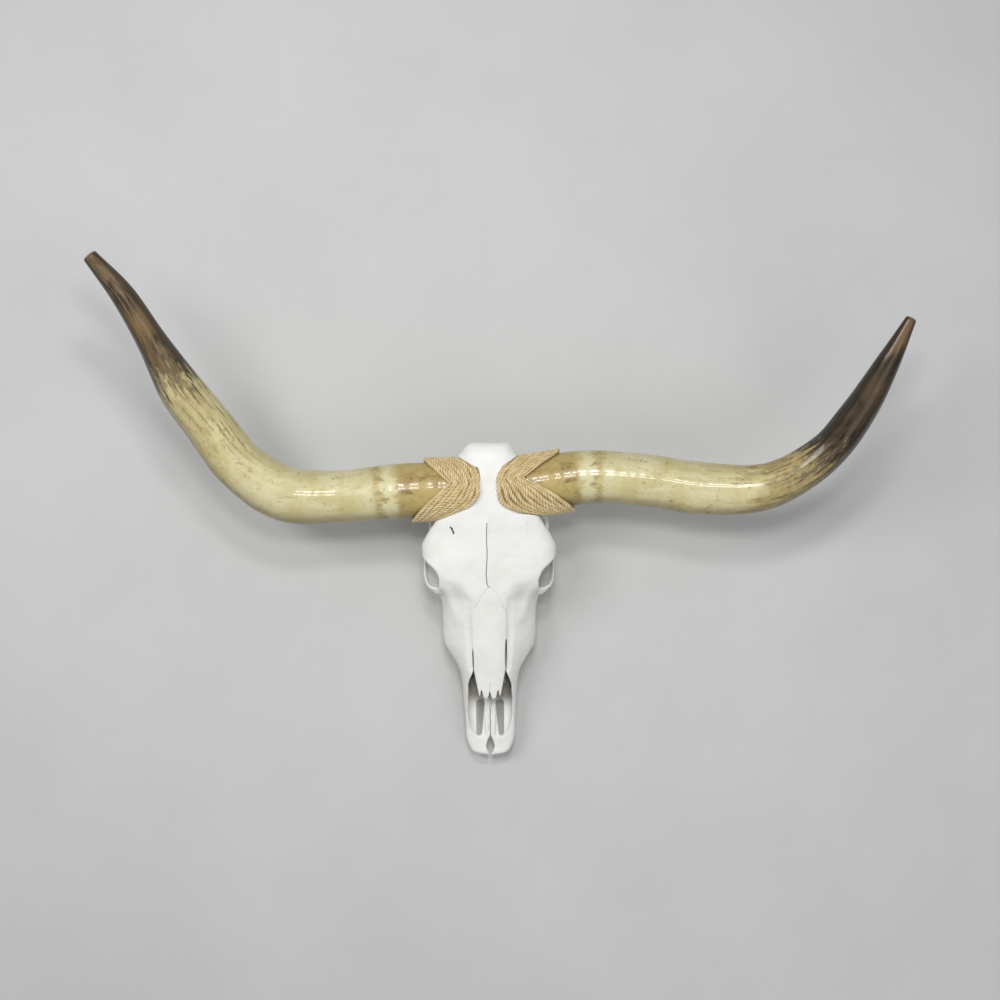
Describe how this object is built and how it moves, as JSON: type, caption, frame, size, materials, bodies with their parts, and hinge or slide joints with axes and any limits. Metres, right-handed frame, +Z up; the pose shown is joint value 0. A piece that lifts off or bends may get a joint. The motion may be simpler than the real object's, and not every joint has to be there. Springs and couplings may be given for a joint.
{
  "type": "longhorn steer skull",
  "caption": "Skull of a longhorn steer without its lower jaw, lying forehead up on its cheek teeth, with wide curved horns and horn bases bound in cord.",
  "frame": {"origin": "on the floor, under the middle of the part's outline", "axes": "+Z up away from the floor, the forehead's side; +X the animal's left; -Y towards the nose"},
  "size_m": [1.2574, 0.8004, 0.313],
  "materials": {
    "bone": "matt bleached bone",
    "horn": "polished horn under clear lacquer",
    "cord": "twisted plant-fibre cord"
  },
  "bodies": {
    "root": {"cranium": "bone", "upper_jaw": "bone", "nasal_left": "bone", "nasal_right": "bone", "incisive_left": "bone", "incisive_right": "bone", "horn_left": "horn", "horn_right": "horn", "wrap_left": "cord", "wrap_right": "cord"}
  },
  "joints": []
}
